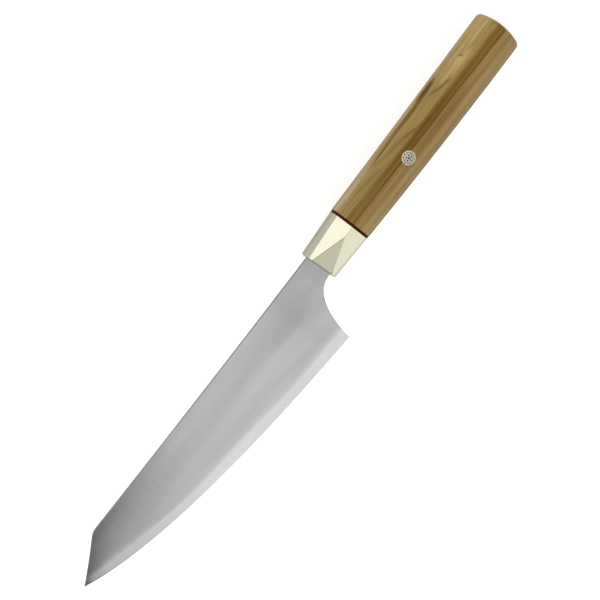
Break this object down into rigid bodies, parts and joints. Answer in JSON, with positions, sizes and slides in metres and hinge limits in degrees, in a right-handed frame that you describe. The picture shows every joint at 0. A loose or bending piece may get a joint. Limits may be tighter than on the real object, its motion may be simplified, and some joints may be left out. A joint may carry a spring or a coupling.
{
  "type": "gyuto knife",
  "caption": "Gyuto kitchen knife with an angled tip, three-layer blade on a hidden tang, faceted pale metal bolster, red spacer and faceted striped wood handle with a mosaic pin.",
  "frame": {"origin": "on the surface the knife lies on, right side down, under the middle of its box", "axes": "+X along the knife from the tip to the butt, +Y from the edge towards the spine, +Z out of the left face"},
  "size_m": [0.3176, 0.0456, 0.02],
  "materials": {
    "core_steel": "fine ground, bright",
    "satin_steel": "satin, ground across the blade",
    "nickel_silver": "nickel silver, polished facets",
    "red_fibre": "vulcanised fibre, dark red",
    "striped_wood": "oiled hardwood with dark stripes",
    "adhesive": "cured epoxy",
    "pin_brass": "ground flush with the wood",
    "pin_silver": "ground flush with the wood",
    "dark_resin": "cast resin",
    "pale_resin": "cast resin with pale filler"
  },
  "bodies": {
    "root": {"blade_core": "core_steel", "blade_cladding_left": "satin_steel", "blade_cladding_right": "satin_steel", "bolster": "nickel_silver", "spacer": "red_fibre", "handle": "striped_wood", "tang_bedding": "adhesive", "pin_tube": "pin_brass", "pin_resin": "pale_resin", "pin_middle_tube": "pin_silver", "pin_middle_filling": "dark_resin", "pin_inner_01_tube": "pin_silver", "pin_inner_01_filling": "dark_resin", "pin_inner_02_tube": "pin_silver", "pin_inner_02_filling": "dark_resin", "pin_inner_03_tube": "pin_silver", "pin_inner_03_filling": "dark_resin", "pin_inner_04_tube": "pin_silver", "pin_inner_04_filling": "dark_resin", "pin_inner_05_tube": "pin_silver", "pin_inner_05_filling": "dark_resin", "pin_outer_01_tube": "pin_brass", "pin_outer_01_filling": "dark_resin", "pin_outer_02_tube": "pin_brass", "pin_outer_02_filling": "dark_resin", "pin_outer_03_tube": "pin_brass", "pin_outer_03_filling": "dark_resin", "pin_outer_04_tube": "pin_brass", "pin_outer_04_filling": "dark_resin", "pin_outer_05_tube": "pin_brass", "pin_outer_05_filling": "dark_resin", "pin_outer_06_tube": "pin_brass", "pin_outer_06_filling": "dark_resin", "pin_outer_07_tube": "pin_brass", "pin_outer_07_filling": "dark_resin", "pin_outer_08_tube": "pin_brass", "pin_outer_08_filling": "dark_resin", "pin_outer_09_tube": "pin_brass", "pin_outer_09_filling": "dark_resin", "pin_outer_10_tube": "pin_brass", "pin_outer_10_filling": "dark_resin", "pin_outer_11_tube": "pin_brass", "pin_outer_11_filling": "dark_resin", "pin_outer_12_tube": "pin_brass", "pin_outer_12_filling": "dark_resin"}
  },
  "joints": []
}
